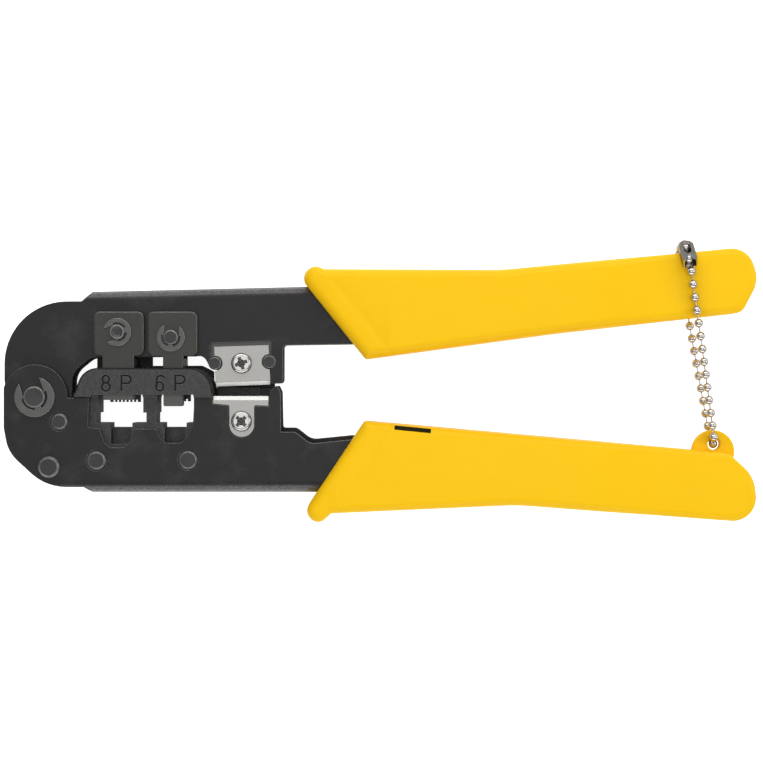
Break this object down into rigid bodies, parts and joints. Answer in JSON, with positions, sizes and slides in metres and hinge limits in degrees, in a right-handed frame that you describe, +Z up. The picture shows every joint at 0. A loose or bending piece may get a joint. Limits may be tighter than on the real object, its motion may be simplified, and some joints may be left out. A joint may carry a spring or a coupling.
{
  "type": "modular plug crimping tool",
  "caption": "Two-handled crimping press with two plug dies, a pair of cutting blades, yellow grips and a ball chain that keeps the handles together.",
  "frame": {"origin": "under the middle of the tool's box, on the surface it lies on, measured without the chain", "axes": "+X from the pivot to the grip ends, +Y from the lower grip to the upper grip, +Z up from the surface through the tool's thickness"},
  "size_m": [0.1998, 0.0752, 0.0211],
  "materials": {
    "blackened_steel": "satin black oxide",
    "cast_die": "grainy dark casting",
    "dark_rivet": "blackened",
    "dark_pin": "blackened, turned",
    "clip_steel": "phosphated",
    "ground_steel": "ground",
    "nickel": "nickel plated",
    "spring_wire": "drawn wire",
    "seat_steel": "milled",
    "plunger_steel": "satin black oxide",
    "yellow_grip": "moulded satin"
  },
  "bodies": {
    "lower": {"lower_frame": "blackened_steel", "die_block": "cast_die", "die_block_rivets": "dark_rivet", "spring_post": "dark_rivet", "pivot_pin": "dark_pin", "pivot_e_clip": "clip_steel", "lower_blade": "ground_steel", "lower_blade_screw": "nickel", "return_spring": "spring_wire", "lower_grip": "yellow_grip"},
    "upper": {"upper_frame": "blackened_steel", "blade_block": "seat_steel", "blade_rivets": "dark_rivet", "upper_blade": "ground_steel", "upper_blade_screw": "nickel", "upper_grip": "yellow_grip", "keeper_chain": "nickel", "chain_connector": "nickel"},
    "plunger_8p": {"plunger_8p": "plunger_steel", "contact_comb_8p": "ground_steel", "cable_punch_8p": "ground_steel", "plunger_pin_8p": "dark_pin", "plunger_e_clip_8p": "clip_steel"},
    "plunger_6p": {"plunger_6p": "plunger_steel", "contact_comb_6p": "ground_steel", "cable_punch_6p": "ground_steel", "plunger_pin_6p": "dark_pin", "plunger_e_clip_6p": "clip_steel"}
  },
  "joints": [
    {"name": "squeeze", "type": "hinge", "parent": "lower", "child": "upper", "pos_m": [-0.0915, -0.0029, 0.01], "axis": [0, 0, -1], "range_deg": [0, 4.2], "stiffness_Nm_per_rad": 1.5, "springref_deg": -34.38, "deforming": ["return_spring", "keeper_chain"]},
    {"name": "plunger_8p_slide", "type": "slide", "parent": "lower", "child": "plunger_8p", "axis": [0, -1, 0], "range_m": [0, 0.0017]},
    {"name": "plunger_6p_slide", "type": "slide", "parent": "lower", "child": "plunger_6p", "axis": [0, -1, 0], "range_m": [0, 0.0027]}
  ],
  "couplings": [
    {"joint": "plunger_8p_slide", "follows": "squeeze", "m_per_rad": 0.02186},
    {"joint": "plunger_6p_slide", "follows": "squeeze", "m_per_rad": 0.03605}
  ]
}
